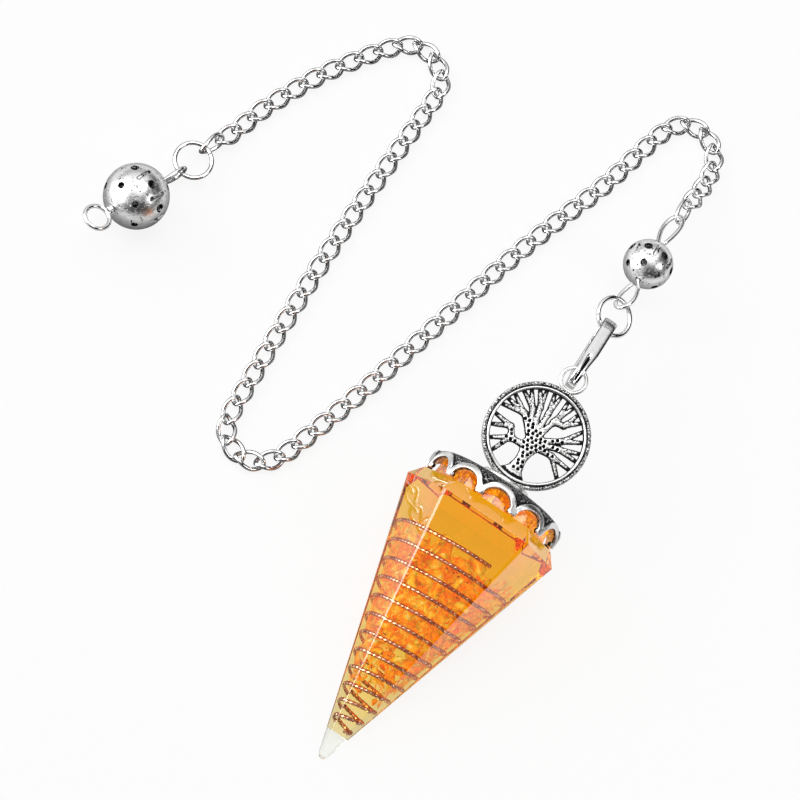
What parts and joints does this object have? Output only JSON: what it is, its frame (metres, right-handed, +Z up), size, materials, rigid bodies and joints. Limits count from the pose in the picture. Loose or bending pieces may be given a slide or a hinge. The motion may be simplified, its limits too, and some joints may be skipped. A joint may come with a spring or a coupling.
{
  "type": "pendulum pendant",
  "caption": "Pendulum pendant: long six-sided resin point with a copper coil and stone chips inside, petal cap, tree of life charm, and a curb chain that ends in a pierced bead.",
  "frame": {"origin": "a point on the resin's back facet, on its middle line, where the pendant rests on the table", "axes": "+Z up from the table; the pendant points down and left in the XY plane, its charm towards +X and +Y"},
  "size_m": [0.0788, 0.0884, 0.016],
  "materials": {
    "amber_resin": "clear cast resin, amber, whitish at the tip",
    "copper_wire": "polished copper",
    "stone": "polished stone chips",
    "antique_silver": "antiqued cast alloy, dark in its recesses",
    "silver": "bright plated wire"
  },
  "bodies": {
    "root": {"resin_point": "amber_resin", "copper_coil": "copper_wire", "stone_chips": "stone", "petal_cap": "antique_silver", "tree_charm": "antique_silver", "bail_link": "silver", "jump_ring_pendant": "silver", "small_bead": "silver", "small_bead_pin": "silver", "curb_chain": "silver", "jump_ring_holder": "silver", "large_bead": "silver", "large_bead_pin": "silver"}
  },
  "joints": []
}
